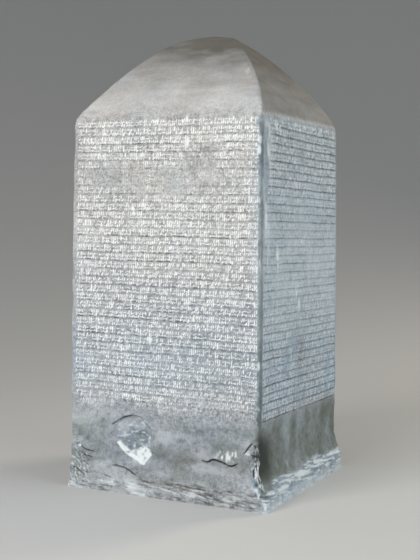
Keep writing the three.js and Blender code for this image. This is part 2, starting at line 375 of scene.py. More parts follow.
def corner_marks(points, on, marks):
    """The broken near corner of the foot, and the hollow beside it on the right face, darkened with
    painted shade over a green stain.
    """
    x, y, z = points[..., 0], points[..., 1], points[..., 2]
    broken = oval(x, z, BREAK) * on["front"]
    shards = layered(points, 0.012, 21)
    out = -BREAK_DEPTH * broken * (1 + 1.1 * shards)
    uneven = 0.010 * layered(points * [1, 1, 0.5], 0.035, 22)
    gouge = oval(y + uneven, z + uneven, GOUGE) * on["right"]
    out -= GOUGE_DEPTH * gouge
    # Painted shade in the hollow, over a green stain
    lay(marks, "shade", 0.93 * smooth(gouge, 0.08, 0.72))
    lay(marks, "moss_and_shade", smooth(gouge, 0.02, 0.5))
    jagged = smooth(1.6 * broken, 0.15, 0.9)
    lay(marks, "shade", 0.95 * jagged * smooth(-shards, 0.10, 0.35))
    lay(marks, "fresh_and_highlight", 0.75 * jagged * smooth(shards, 0.15, 0.45))
    damp = oval(x + 0.6 * uneven, z + 0.5 * uneven, DAMP)
    lay(marks, "moss_and_shade", 0.72 * smooth(damp, 0.15, 0.8) * on["front"])
    ragged = 0.05 * layered(points, 0.016, 61)
    beside_x = smooth(on["unit_x"] + ragged, 0.89, 0.95)
    low_arris = beside_x * smooth(ragged - on["unit_y"], 0.93, 0.975) * below(z, 0.095, 0.125)
    chips = layered(points * [1, 1, 0.7], 0.0085, 29)
    out -= 0.0022 * low_arris * smooth(-chips, 0.0, 0.5)
    lay(marks, "fresh_and_highlight", 0.82 * low_arris * smooth(chips, -0.08, 0.32))
    lay(marks, "shade", 0.75 * low_arris * smooth(-chips, 0.22, 0.5))
    lay(marks, "cool", low_arris)
    return out


def foot_marks(points, on, marks):
    """Tool marks and stains on the foot: pale dashes on the lips, rust lines along the front's, and
    damp streaks down the bare band above the right one's."""
    x, y, z = points[..., 0], points[..., 1], points[..., 2]
    out = np.zeros(np.shape(x))
    front_edge = np.interp(x, *zip(*LIP_FRONT[1])) + 0.004
    right_edge = np.interp(y, *zip(*LIP_RIGHT[1])) + 0.016
    front_lip = below(z, front_edge, front_edge + 0.012) * on["front"]
    right_edge = right_edge + 0.007 * layered(points, 0.025, 55)
    right_lip = below(z, right_edge - 0.004, right_edge + 0.012) * on["right"]
    bare = below(z, 0.17, 0.215)

    bowed = z + 0.10 * y + 0.005 * layered(points, 0.07, 53)
    rising = dashes(y, bowed, 0.075, 0.0052, 50) * right_lip
    fine = dashes(y, bowed, 0.022, 0.0036, 52) * right_lip
    dull = dashes(y, bowed, 0.035, 0.0045, 59) * right_lip
    worked = smooth(z, 0.018, 0.034)
    level = dashes(x, z + 0.10 * x, 0.022, 0.0042, 54) * front_lip
    cut = dashes(x, z + 0.10 * x, 0.026, 0.0034, 56) * on["front"]
    cut = cut * below(z, front_edge + 0.01, front_edge + 0.03)
    out -= 0.0016 * rising * worked + 0.0008 * fine + 0.0008 * level
    bright = oval(x, z, BRIGHT_LIP) * on["front"]
    left_chips = dashes(x - z, z + x, 0.010, 0.0035, 58) * on["front"]
    left_chips = left_chips * below(x, -0.215, -0.17) * below(z, 0.06, 0.13)
    unworked = right_lip * (1 - worked) * smooth(layered(points, 0.020, 54), -0.5, 0.2)
    brushed = bright * smooth(layered(points * [0.4, 1, 1.8], 0.014, 59), -0.3, 0.2)
    for amount in (0.90 * rising * worked, 0.75 * fine, 0.75 * level * (0.6 + bright),
                   0.42 * unworked, 0.85 * brushed, 0.6 * left_chips):
        lay(marks, "fresh_and_highlight", amount)
    lay(marks, "shade", 0.62 * cut * (1 - bright))
    lay(marks, "shade", 0.40 * dull * worked)
    lay(marks, "cool", 0.7 * right_lip)
    bottom = below(z, 0.008, 0.022) * on["right"]
    lay(marks, "fresh_and_highlight", 0.55 * bottom * smooth(layered(points, 0.012, 62), -0.5, 0.1))

    across = points * [1, 0, 0]
    drift = 0.0035 * noise(across, 0.030, 25) + 0.0012 * noise(across, 0.008, 26)
    from_left = smooth(x, -0.080, -0.045) * on["front"]
    patchy = smooth(layered(points * [1, 0, 3], 0.026, 30), -0.35, 0.15)
    for height, width, strength in RUST_LINES:
        rust = below(np.abs(z - height - drift), 0.4 * width, 1.6 * width)
        rust = strength * rust * from_left * patchy
        lay(marks, "tan", rust)
        lay(marks, "shade", 0.35 * rust)
    low_lip = below(z, 0.024, 0.036) * from_left
    lay(marks, "tan", 0.22 * low_lip * smooth(layered(points, 0.018, 34), -0.1, 0.4))

    drips = layered(points * [1, 1, 0.20], 0.038, 35, 2)
    stained = bare * on["right"] * (1 - right_lip)
    cloudy = layered(points, 0.045, 48)
    lay(marks, "moss_and_shade", stained * np.clip(0.66 + 0.42 * drips + 0.40 * cloudy, 0, 1))
    pale_drips = stained * smooth(-drips - 0.5 * cloudy, 0.0, 0.4) * (0.4 + 0.6 * bell(y, -0.10, 0.10))
    pale_drips = pale_drips * smooth(y, -0.16, -0.10)
    lay(marks, "shade", 0.20 * stained * smooth(drips + 0.6 * cloudy, 0.0, 0.7))
    lay(marks, "cool", 0.24 * pale_drips)
    lay(marks, "fresh_and_highlight", 0.10 * pale_drips)
    brown = oval(y, z, RUST_SPOT) * on["right"]
    brown = np.maximum(0.30 * brown, 0.06 * stained * smooth(drips + cloudy, -0.1, 0.5))
    lay(marks, "tan", brown)
    lay(marks, "tan", 0.8 * oval(y, z, RAIN) * on["right"])
    plain = bare * (1 - front_lip) * on["front"]
    nicks = dashes(x, z - 0.2 * x, 0.020, 0.0034, 65) * below(x, -0.22, -0.14) * plain
    lay(marks, "shade", 0.38 * nicks * below(z, 0.125, 0.145))
    grimy = layered(points * [0.6, 1, 1.2], 0.034, 36)
    lay(marks, "moss_and_shade", 0.52 * plain * smooth(grimy, -0.10, 0.5))
    lay(marks, "fresh_and_highlight", 0.26 * plain * smooth(-grimy, 0.0, 0.5))
    lilac = smooth(x, -0.06, 0.02) * bell(z, 0.098, 0.022) * plain
    lay(marks, "film_and_shade", 0.34 * lilac)
    pale_left = oval(x, z, PALE_LEFT) * on["front"]
    lay(marks, "fresh_and_highlight", 0.22 * pale_left * smooth(layered(points, 0.02, 58), -0.4, 0.3))
    lay(marks, "moss_and_shade", 0.72 * oval(x, z, DULL_LEFT) * on["front"])
    left_side = plain * below(x, -0.22, -0.10) * smooth(grimy, -0.5, 0.2)
    lay(marks, "moss_and_shade", 0.34 * left_side)
    return out


def relief(points, unit_x, unit_y):
    """The dressing, weathering and losses, as a distance along the surface's normal, and the marks
    that colour them, each 0 to 1: shade (dark stains, cracks and pits, and painted shade),
    fresh_and_highlight (pale breaks, and painted highlight on the flake's lower edge and corner
    patch), tan (rust), moss_and_shade (a dull green coat, and painted shade in the right face's
    hollow and down the near arris), cool (a blue-grey bloom) and film_and_shade (the head's dark
    patina, and painted shade on its right and back sides)."""
    x, y, z = points[..., 0], points[..., 1], points[..., 2]
    on = {
        "front": smooth(-unit_y, 0.90, 1.0),
        "right": smooth(unit_x, 0.90, 1.0),
        "unit_x": unit_x,
        "unit_y": unit_y,
        "beside_front": smooth(-unit_y, 0.5, 0.9) * bell(y, FRONT_PLACE, 0.014),
        "arris": smooth(np.minimum(np.abs(unit_x), np.abs(unit_y)), 0.965, 0.995),
        "upright": below(z, SPRING - 0.012, SPRING),
    }
    marks = {name: np.zeros(z.shape) for name in ("shade", "fresh_and_highlight", "tan", "moss_and_shade", "cool", "film_and_shade")}
    out = dressing(points, on)
    out += foot_marks(points, on, marks)
    out += scar_marks(points, on, marks)
    out += corner_marks(points, on, marks)
    out += crack_marks(points, on, marks)

    # Salt and pepper: small pale bruises and dark pits, in drifts, thickest just below the rows
    specks = noise(points, 0.0044, 37) + 0.6 * noise(points, 0.0023, 38)
    drifts = smooth(layered(points, 0.045, 49), -0.15, 0.45)
    below_rows = bell(z, 0.205, 0.026) * on["front"]
    bare = below(z, 0.14, 0.19) * on["front"]
    written = on["upright"] * smooth(z, 0.195, 0.225)
    thick = np.clip(0.62 * below_rows + 0.40 * drifts * bare + 0.50 * written, 0, 1.2)
    lay(marks, "fresh_and_highlight", 0.55 * thick * smooth(specks, 0.50, 0.95))
    lay(marks, "shade", 0.60 * thick * smooth(-specks, 0.50, 0.95))
    out -= 0.0007 * thick * smooth(-specks, 0.4, 0.95)

    # The bloom over the right face's field and margin, and low on the front; the right face paler about
    # its middle and darker towards the top of its field
    upright = smooth(z, FIELD_FOOT - 0.01, FIELD_FOOT + 0.03) * below(z, SPRING - 0.01, SPRING)
    bloom = 0.74 + 0.35 * layered(points, 0.10, 39)
    lay(marks, "cool", bloom * upright * on["right"])
    hazy = 0.5 + 0.5 * smooth(layered(points, 0.05, 60), -0.4, 0.4)
    lay(marks, "fresh_and_highlight", 0.33 * bell(z, 0.53, 0.15) * hazy * on["right"])
    darker_right_top = smooth(z, 0.70, 0.84) * below(z, SPRING - 0.01, SPRING) * on["right"]
    lay(marks, "moss_and_shade", 0.26 * darker_right_top)
    low = below(z, 0.30, 0.62) * on["front"] * (0.10 + 0.25 * smooth(z, 0.22, 0.30))
    lay(marks, "cool", low)

    # The pale margin beside the near arris, and painted shade down the rounded arris itself, in a dull
    # green
    along_arris = smooth(z, 0.13, 0.20) * below(z, 0.86, 0.89)
    margin = on["right"] * bell(y, -0.212, 0.022) * along_arris * smooth(z, 0.42, 0.66)
    margin = margin * smooth(layered(points * [1, 1, 0.4], 0.018, 50), -0.25, 0.35)
    lay(marks, "fresh_and_highlight", 0.85 * margin)
    corner = smooth(unit_x, 0.90, 0.93) * smooth(-unit_y, 0.90, 0.93)
    ragged = 0.011 * layered(points, 0.030, 42) + 0.010 * noise(points, 0.007, 67)
    line = below(np.abs(unit_x + unit_y - 0.014 + ragged), 0.024, 0.048)
    line = line * corner * along_arris * (0.75 + 0.35 * layered(points, 0.05, 52))
    # Painted shade of the rounded near arris: a dark line laid as dull green and as shade
    lay(marks, "moss_and_shade", line)
    lay(marks, "shade", 0.56 * line)

    # Pale streaks down the head beside the near arris
    beside = bell(unit_x, 0.92, 0.05) * smooth(-unit_y, 0.97, 1.0)
    beside = beside * smooth(z, SPRING + 0.005, SPRING + 0.03) * below(z, 1.00, 1.05)
    streaky = smooth(layered(points * [1, 1, 0.3], 0.010, 66), 0.05, 0.45)
    lay(marks, "fresh_and_highlight", 0.36 * beside * streaky)

    # The head's dark skin, thickest at the crown, and painted shade over the head's right and back
    # sides
    rise = smooth(z, SPRING - 0.005, HEIGHT)
    level = layered(points * [0.5, 0.5, 1.6], 0.030, 43)
    skin_and_shade = rise**1.28 + 0.20 * level * smooth(z, SPRING, SPRING + 0.03)
    skin_and_shade = skin_and_shade + 0.25 * oval(x, z, CROWN_SPOT) * smooth(level, -0.3, 0.3)
    # Painted shade on the head's right and back sides
    shaded_side = smooth(unit_x + unit_y, -0.01, 0.05) * smooth(z, SPRING - 0.004, SPRING + 0.012)
    skin_and_shade = np.clip(np.maximum(skin_and_shade, 0.70 * shaded_side + 0.4 * skin_and_shade), 0, 1)
    lay(marks, "film_and_shade", skin_and_shade)
    return out * smooth(z, -0.001, 0.010), marks


def normals(points, wrap):
    """Unit normals of a grid: the cross product of its steps across and up."""
    if wrap:
        ring = np.concatenate([points[:, -1:], points, points[:, :1]], 1)
        across = (ring[:, 2:] - ring[:, :-2]) / 2
    else:
        across = np.gradient(points, axis=1)
    normal = np.cross(across, np.gradient(points, axis=0))
    length = np.linalg.norm(normal, axis=-1, keepdims=True)
    return normal / np.maximum(length, 1e-12)


# ---- The strokes ----
TIERS = [(0.66, 0.29), (0.25, 0.20)]  # middle and height of a row's two tiers, as shares of it
SLOT = 0.0050  # from one stroke to the next along a tier
STROKE_HALF = 0.00168  # half a stroke's width
UPRIGHT, LEANING = 0.30, 0.56  # a stroke drawn below the first stands, past the second it lies
RUNS_ACROSS = (0.05, 0.60, 0.78)  # how far a standing, leaning and lying stroke runs across
LEVEL_WIDTH = 0.74  # how wide a lying stroke is, against the others
FILLED = 0.90  # the share of slots that hold a stroke
JITTER = 0.12  # how far a stroke strays from the middle of its slot, as a share of it

# ---- The ruled lines, measured in shares of a row ----
RULE_DASHES = (0.22, 0.75)  # how dark a line stays between its dashes: front and back, sides
RULE_PLACE, RULE_CORE, RULE_EDGE = 0.045, 0.015, 0.092
SECOND_PLACE, SECOND_CORE, SECOND_EDGE = 0.43, 0.012, 0.090  # the fainter line between the tiers
RULE_DEPTH = 0.0009


def stroke_segments(width, rows, coarse, depth, rng):
    """Rows of plain strokes that are not letters: two tiers of loose dabs, each upright, leaning
    to the right or level at random. Many touch a neighbour at the rim, and a few run together
    by chance. A segment is its two ends, half its width and its depth, measured up from the
    field's lower left."""
    slot = SLOT * coarse
    place, row = np.meshgrid(np.arange(int(width / slot)), np.arange(rows))
    place, row = place.ravel(), row.ravel()
    amount = place.size
    tiers = []
    for level, tall in TIERS:
        kind = rng.random(amount)
        lies = kind >= LEANING
        lean = np.select([kind < UPRIGHT, ~lies], RUNS_ACROSS[:2], RUNS_ACROSS[2])
        lean = lean + rng.uniform(-JITTER, JITTER, amount)
        stretch = rng.uniform(0.75, 1.25, amount)
        middle_x = (place + 0.5 + rng.uniform(-JITTER, JITTER, amount)) * slot
        middle_y = (row + level + rng.uniform(-0.05, 0.05, amount)) * ROW
        run_x = 0.30 * slot * lean
        run_y = 0.5 * tall * ROW * stretch * ~lies + 0.0002
        half = STROKE_HALF * coarse**0.8 * rng.uniform(0.80, 1.20, amount)
        half = half * np.where(lies, LEVEL_WIDTH, 1)
        cut = depth * rng.uniform(0.35, 1.20, amount)
        dabs = [middle_x - run_x, middle_y - run_y, middle_x + run_x, middle_y + run_y, half, cut]
        tiers.append(np.stack(dabs, -1)[rng.random(amount) < FILLED])
    every = np.concatenate(tiers)
    return every[every[:, 2] < width - 0.001]


def cut_strokes(columns, lines, segments):
    """Cut every segment into a height field at once. Each looks at a small window of the grid, and
    the depth there is the segment's own, less the distance to it over half its width."""
    x0, y0, x1, y1, half, depth = segments.T[:, :, None, None]
    first_col = np.searchsorted(columns, np.minimum(segments[:, 0], segments[:, 2]) - segments[:, 4])
    first_line = np.searchsorted(lines, np.minimum(segments[:, 1], segments[:, 3]) - segments[:, 4])
    reach_x = np.abs(segments[:, 0] - segments[:, 2]).max() + 2 * segments[:, 4].max()
    reach_y = np.abs(segments[:, 1] - segments[:, 3]).max() + 2 * segments[:, 4].max()
    wide = int(reach_x / np.diff(columns).min()) + 2
    tall = int(reach_y / np.diff(lines).min()) + 2
    col = np.clip(first_col[:, None, None] + np.arange(wide)[None, None, :], 0, len(columns) - 1)
    line = np.clip(first_line[:, None, None] + np.arange(tall)[None, :, None], 0, len(lines) - 1)
    x, y = columns[col], lines[line]
    run_x, run_y = x1 - x0, y1 - y0
    share = ((x - x0) * run_x + (y - y0) * run_y) / (run_x**2 + run_y**2)
    share = np.clip(share, 0, 1)
    away = np.hypot(x - x0 - share * run_x, y - y0 - share * run_y)
    cut = depth * np.clip(1 - away / half, 0, 1) ** 0.7
    carved = np.zeros((len(lines), len(columns)))
    col, line = np.broadcast_arrays(col, line)
    np.maximum.at(carved, (line.ravel(), col.ravel()), cut.ravel())
    return carved


def wear(face, points):
    """How well the strokes have lasted, 0 to 1: crisp at the top of the front and from its upper
    third down, nearly gone in between, and fading out above the bare foot."""
    x, y, z = points[..., 0], points[..., 1], points[..., 2]
    patchy = layered(points, 0.09, 31)
    kept = 0.92 + 0.45 * patchy + 0.55 * layered(points, 0.020, 44)
    if face == 0:
        kept = kept - 0.85 * bell(z + 0.02 * patchy, 0.757, 0.058) * (1 - 0.35 * smooth(x, 0.05, 0.2))
        kept = kept - 0.15 * smooth(z, 0.82, 0.87) * smooth(-x, 0.0, 0.2)
        kept = kept - 0.25 * below(z, 0.25, 0.45)
        kept = kept * smooth(z + 0.020 * patchy, 0.190, 0.245)
    elif face == 1:
        kept = kept - 0.45 * bell(y, -0.04, 0.09) * smooth(layered(points, 0.13, 32), -0.2, 0.3)
        kept = kept - 0.40 * smooth(layered(points, 0.045, 64), 0.0, 0.5)
    else:
        kept = kept - 0.30 + 0.45 * layered(points, 0.14, 33)
    return np.clip(kept, 0.0, 1)


# ---- Panels: closely meshed stretches of the surface that carry the strokes ----
PANEL_SIDE, FAR_SIDE = 0.975, 0.93  # how far across its face a panel runs, as a share of the half
FRONT_STEP, RIGHT_STEP, FAR_STEP = 0.00128, 0.00160, 0.0034  # from column to column
NEAR_LINES, FAR_LINES = 11, 7  # the grid's lines in each row
FOOT_LINES = 118  # and those below the rows
MARGIN = -0.960  # where the right face's rows begin
FAR_SLOPE = 0.003  # how the rows run down to the right on the faces turned away, in radians
FLAT_SHARE = 1 - ARRIS_RADIUS / FRONT_TOP  # where the flat of a face ends and its arris begins
ARRIS = np.linspace(FLAT_END, 1 - FLAT_END, 9)[1:-1]  # ring places round an arris, from its face
ARRIS_SPAN = 0.039  # how long one whole ring place would be there


def row_lines(foot, rows, steps):
    """Heights of the grid's lines, gathered about the ruled line at the foot of each row."""
    one_row = np.concatenate([[0.0, RULE_PLACE, 0.10], np.linspace(0.10, 1, steps - 1)[1:-1]])
    return np.append((foot + (np.arange(rows)[:, None] + one_row) * ROW).ravel(), foot + rows * ROW)


def across_face(left, right, half, step):
    """Shares of the half width from left to right, at about the step."""
    return np.linspace(left, right, int(round((right - left) * half / step)) + 1)


def ring_at(face, share):
    """The ring place of a share of the half width, on the flat of an upright face."""
    return face + share / FLAT_SHARE * FLAT_END


def panel_surface(ring, run, heights, fields, foot, rows, slope):
    """A grid in the stone's own surface. Ring is each column's place on the ring, run its distance
    across, and heights are its lines. Each field is its face, first and last column, seed, coarseness
    and depth. Rows run down to the right by the slope, and the ruled lines waver a little."""
    col, line = np.meshgrid(run, heights)
    inner = smooth(line, heights[0], heights[0] + ROW)
    inner = inner * below(line, heights[-1] - ROW, heights[-1])
    waver = 0.0013 * noise(np.stack([col, line, 0 * col], -1), 0.07, 45)
    waver = waver + 0.0006 * noise(np.stack([col, line, 0 * col], -1), 0.022, 57)
    z = line + inner * (waver - slope * col)
    points, unit_x, unit_y = dressed(np.broadcast_to(ring, z.shape), np.ones_like(z), z)
    out, marks = relief(points, unit_x, unit_y)

    in_row = ((line - foot) / ROW) % 1.0
    inside = (line > foot - 0.0001) & (line < heights[-1] - 0.001)
    broken = smooth(layered(points * [1, 1, 6], 0.045, 41), -0.60, 0.15)
    dashed = noise(np.stack([col, np.floor((line - foot) / ROW + 0.5) * 0.02, 0 * col], -1), 0.0075, 51)
    row_place = np.stack([0 * col, np.floor((line - foot) / ROW) * 0.05, 0 * col], -1)
    written = np.searchsorted(heights, foot - 1e-6)
    marks["groove"], marks["rule"] = np.zeros(z.shape), np.zeros(z.shape)
    for face, first, last, seed, coarse, depth in fields:
        part = slice(first, last + 1)
        across = run[part] - run[first]
        here, high, spots, dashing = (grid[:, part] for grid in (points, z, row_place, dashed))
        rng = np.random.default_rng(seed)
        segments = stroke_segments(across[-1], rows, coarse, depth, rng)
        carved = cut_strokes(across, heights[written:] - foot, segments)
        kept = wear(face, here)
        indent = 0.0025 * (1 + noise(spots, 0.02, seed + 60))
        if face == 1:
            indent = indent + 0.034 * smooth(high, 0.55, 0.84)
        sides = smooth(across, indent, indent + 0.006) * smooth(across[-1] - across, 0.0005, 0.004)
        dark = RULE_DASHES[face % 2]
        ruled = below(np.abs(in_row[:, part] - RULE_PLACE), RULE_CORE, RULE_EDGE)
        second = below(np.abs(in_row[:, part] - SECOND_PLACE), SECOND_CORE, SECOND_EDGE)
        second = second * (0.85 - 0.45 * smooth(high, 0.50, 0.75))
        dashes_here = dark + (1 - dark) * smooth(dashing, -0.25, 0.45)
        second = second * (0.35 if face == 1 else 1.0)
        ruled = np.maximum(ruled * dashes_here, second * smooth(dashing, -0.35, 0.35))
        of_row = np.clip(0.80 + 0.55 * noise(spots, 0.02, seed + 70), 0.25, 1)
        if face == 0:
            of_row = of_row * (1 + 0.6 * oval(here[..., 0], high, CLEAR_RULES))
        lasting = broken[:, part] * of_row
        if face == 1:
            lasting = 0.65 + 0.55 * lasting
        ruled = ruled * lasting * inside[:, part] * sides * (0.40 + 0.60 * kept)
        if face == 0:
            ruled = ruled * smooth(high, 0.195, 0.245)
        stroke = np.zeros(kept.shape)
        stroke[written:] = carved
        stroke = stroke * kept * sides
        out[:, part] -= stroke + RULE_DEPTH * ruled
        dusty = 1.0
        if face == 1:
            dusty = 0.48 + 0.34 * smooth(high, 0.66, 0.76) + 0.24 * below(high, 0.42, 0.52)
        marks["groove"][:, part] = np.clip(2.6 * stroke / depth, 0, 1) * dusty
        # The ruled lines' dark colour: painted shade in their grooves, with dirt
        marks["rule"][:, part] = np.clip(ruled, 0, 1)
    return points + normals(points, False) * out[..., None], marks


def near_panel():
    """The front and right faces with the arris between them, from the ground to the crease."""
    front = across_face(-PANEL_SIDE, FLAT_SHARE, FRONT_TOP, FRONT_STEP)
    right = across_face(-FLAT_SHARE, PANEL_SIDE, SIDE_TOP, RIGHT_STEP)
    ring = np.concatenate([ring_at(0, front), ARRIS, ring_at(1, right)])
    turn = (ARRIS - 0.5) * ARRIS_SPAN
    run = np.concatenate([(front - 1) * FRONT_TOP, turn, (right + 1) * SIDE_TOP])
    slope = np.where(run < 0, SLOPE_FRONT, SLOPE_RIGHT)
    low = np.linspace(PANEL_FOOT, FIELD_FOOT, FOOT_LINES)[:-1]
    heights = np.concatenate([low, row_lines(FIELD_FOOT, ROWS, NEAR_LINES)])
    start = len(front) + len(ARRIS)
    margin = np.searchsorted(right, MARGIN)
    fields = [(0, 2, int(np.searchsorted(front, 0.970)), 1, 1.0, 0.0013),
              (1, start + int(margin), len(ring) - 3, 2, 1.08, 0.0012)]
    surface = panel_surface(ring, run, heights, fields, FIELD_FOOT, ROWS, slope)
    return surface, heights, len(front) + len(ARRIS) // 2


def far_panel(face, foot, rows, seed):
    """One of the faces turned away: the same rows, cut wider and more worn."""
    half = SIDE_TOP if face % 2 else FRONT_TOP
    shares = across_face(-FAR_SIDE, FAR_SIDE, half, FAR_STEP)
    heights = row_lines(foot, rows, FAR_LINES)
    fields = [(face, 0, len(shares) - 1, seed, 1.75, 0.0010)]
    ring, run = ring_at(face, shares), shares * half
    return panel_surface(ring, run, heights, fields, foot, rows, FAR_SLOPE), len(shares)


# ---- The body's grid ----
def stepped(marks, steps):
    """Places from the first mark to the last, evenly spaced between each two at about its step."""
    runs = [np.linspace(a, b, max(2, int(round((b - a) / step)) + 1))[:-1]
            for a, b, step in zip(marks, marks[1:], steps)]
    return np.concatenate(runs + [[marks[-1]]])


# Each let-in stretch: first and last ring place, lowest and highest line.
RECESSES = [
    (ring_at(0, -PANEL_SIDE), ring_at(1, PANEL_SIDE), PANEL_FOOT, FIELD_TOP),
    (ring_at(2, -FAR_SIDE), ring_at(2, FAR_SIDE), FIELD_FOOT, FIELD_TOP),
    (ring_at(3, -FAR_SIDE), ring_at(3, FAR_SIDE), LEFT_FOOT, FIELD_TOP),
]
RING_STEP = STEP_IN / FRONT_TOP / FLAT_SHARE * FLAT_END
BODY_STEPS = (0.0042, 0.0042, 0.0066, 0.0066)  # from column to column, face by face


def body_columns():
    """Ring places all the way round. Each face is stepped across, with close steps in the arrises,
    and a pair of columns marks each side of a let-in stretch."""
    places = []
    for face, step in enumerate(BODY_STEPS):
        places.append(ring_at(face, across_face(-FLAT_SHARE, FLAT_SHARE, FRONT_TOP, step)))
        places.append(face + ARRIS)
    places = np.concatenate(places)
    for first, last, _, _ in RECESSES:
        for edge, inner in ((first, first + RING_STEP), (last, last - RING_STEP)):
            places = places[np.abs(places - edge) > 2 * RING_STEP]
            places = np.append(places, [edge, inner])
    return np.sort(places)


def body_rings():
    """Share and height of every ring, from the middle of the underside to the crown."""
    underside = np.array([0.0, 0.3, 0.6, 0.85, 0.96])
    first, second = PANEL_FOOT + STEP_IN, FIELD_FOOT + STEP_IN
    third, fourth = LEFT_FOOT + STEP_IN, FIELD_TOP - STEP_IN
    marks = [0, PANEL_FOOT, first, FIELD_FOOT, second, LEFT_FOOT, third, fourth, FIELD_TOP, SPRING]
    heights = stepped(marks, [0.004, 1, 0.0052, 1, 0.0125, 1, 0.0135, 1, 0.003])[:-1]
    doubled = np.concatenate([[True], np.diff(heights) > 0.0003])
    heights = heights[doubled]
    head = 1 - stepped([0, 0.08, 0.97, 1], [0.010, 0.0165, 0.01])
    share = np.concatenate([underside, np.ones(len(heights)), head])
    z = np.concatenate([np.zeros(len(underside)), heights, np.full(len(head), SPRING)])
    return share, z


def recessed(ring, z):
    """True where the body is let in behind a panel."""
    inside = np.zeros(np.broadcast(ring, z).shape, bool)
    for first, last, low, high in RECESSES:
        across = (ring > first + RING_STEP / 2) & (ring < last - RING_STEP / 2)
        inside |= across & (z > low + STEP_IN / 2) & (z < high - STEP_IN / 2)
    return inside


def body_surface():
    """The whole stone on its ring grid, let in behind the panels."""
    columns, (share, height) = body_columns(), body_rings()
    ring, share = np.meshgrid(columns, share)
    z = np.broadcast_to(height[:, None], ring.shape)
    points, unit_x, unit_y = dressed(ring, share, z)
    out, marks = relief(points, unit_x, unit_y)
    marks["groove"], marks["rule"] = np.zeros(z.shape), np.zeros(z.shape)
    normal = normals(points, True)
    normal[..., 2] *= smooth(points[..., 2], 0.0, 0.03)
    normal[-1] = [0, 0, 1]
    out = np.where(z > 0, out, 0)
    hidden = recessed(ring, points[..., 2]) & (share >= 1)
    inward = -RECESS * np.stack([unit_x, unit_y, 0 * unit_x], -1)
    points = points + np.where(hidden[..., None], inward, normal * out[..., None])
    return points, marks


# ---- Meshes ----
def grid_faces(rows, cols, wrap):
    """Four-sided faces of a grid of points, each turned to face outwards."""
    last = cols if wrap else cols - 1
    row, col = np.meshgrid(np.arange(rows - 1), np.arange(last), indexing="ij")
    after = (col + 1) % cols
    corners = [row * cols + col, row * cols + after, (row + 1) * cols + after, (row + 1) * cols + col]
    return np.stack(corners, -1).reshape(-1, 4)


def make_mesh(name, points, faces, marks, uv):
    """A mesh object from points, three- and four-sided faces, vertex marks and corner UVs."""
    mesh = bpy.data.meshes.new(name)
    mesh.vertices.add(len(points))
    mesh.vertices.foreach_set("co", points.astype(np.float32).ravel())
    loops = np.concatenate([f.ravel() for f in faces])
    sizes = np.concatenate([np.full(len(f), f.shape[1]) for f in faces])
    starts = np.concatenate([[0], np.cumsum(sizes)[:-1]])
    mesh.loops.add(len(loops))
    mesh.loops.foreach_set("vertex_index", loops.astype(np.int32))
    mesh.polygons.add(len(sizes))
    mesh.polygons.foreach_set("loop_start", starts.astype(np.int32))
    mesh.polygons.foreach_set("loop_total", sizes.astype(np.int32))
    for mark, values in marks.items():
        layer = mesh.attributes.new(mark, "FLOAT", "POINT")
        layer.data.foreach_set("value", values.astype(np.float32).ravel())
    layer = mesh.uv_layers.new(name="OFBake")
    layer.data.foreach_set("uv", uv.astype(np.float32).ravel())
    mesh.update(calc_edges=True)
    mesh.validate()
    mesh.shade_smooth()
    mesh.set_sharp_from_angle(angle=np.radians(76))
    piece = bpy.data.objects.new(name, mesh)
    bpy.context.scene.collection.objects.link(piece)
    return piece


def make_body():
    """The ring grid, its pole rows joined to one point each, as one closed mesh."""
    points, marks = body_surface()
    middle = (points.reshape(-1, 3).min(0) + points.reshape(-1, 3).max(0)) / 2
    shift = np.array([middle[0], middle[1], 0.0])
    rows, cols = points.shape[:2]
    inner = points[1:-1].reshape(-1, 3)
    poles = np.stack([points[0].mean(0), points[-1].mean(0)])
    every = np.concatenate([inner, poles]) - shift
    quads = grid_faces(rows - 2, cols, True)
    col = np.arange(cols)
    after = (col + 1) % cols
    bottom, top = len(inner), len(inner) + 1
    last = (rows - 3) * cols
    under = np.stack([np.full(cols, bottom), after, col], -1)
    crown = np.stack([last + col, last + after, np.full(cols, top)], -1)
    flat_marks = {}
    for mark, values in marks.items():
        ends = [values[0].mean(), values[-1].mean()]
        flat_marks[mark] = np.concatenate([values[1:-1].ravel(), ends])

    # The bake map: the ring unrolled, each row as tall as the stone's profile is long there.
    travel = np.linalg.norm(np.diff(points[:, 0], axis=0), axis=-1)
    v = np.concatenate([[0], np.cumsum(travel)])
    v = v / v[-1]
    around = np.linalg.norm(np.diff(points[rows // 2], axis=0, append=points[rows // 2][:1]), axis=-1)
    u = np.concatenate([[0], np.cumsum(around)])
    u = u / u[-1]
    row_of, col_of = np.divmod(quads[:, 0], cols)
    left, right = u[col_of], u[col_of + 1]
    low, high = v[row_of + 1], v[row_of + 2]
    uv_quads = np.stack([left, low, right, low, right, high, left, high], -1).reshape(-1, 2)
    mid = (u[:-1] + u[1:]) / 2
    uv_under = np.stack([mid, 0 * mid, u[1:], 0 * mid + v[1], u[:-1], 0 * mid + v[1]], -1)
    uv_crown = np.stack([u[:-1], 0 * mid + v[-2], u[1:], 0 * mid + v[-2], mid, 0 * mid + 1], -1)
    uv = np.concatenate([uv_quads, uv_under.reshape(-1, 2), uv_crown.reshape(-1, 2)])
    return make_mesh("stone_body", every, [quads, under, crown], flat_marks, uv), shift


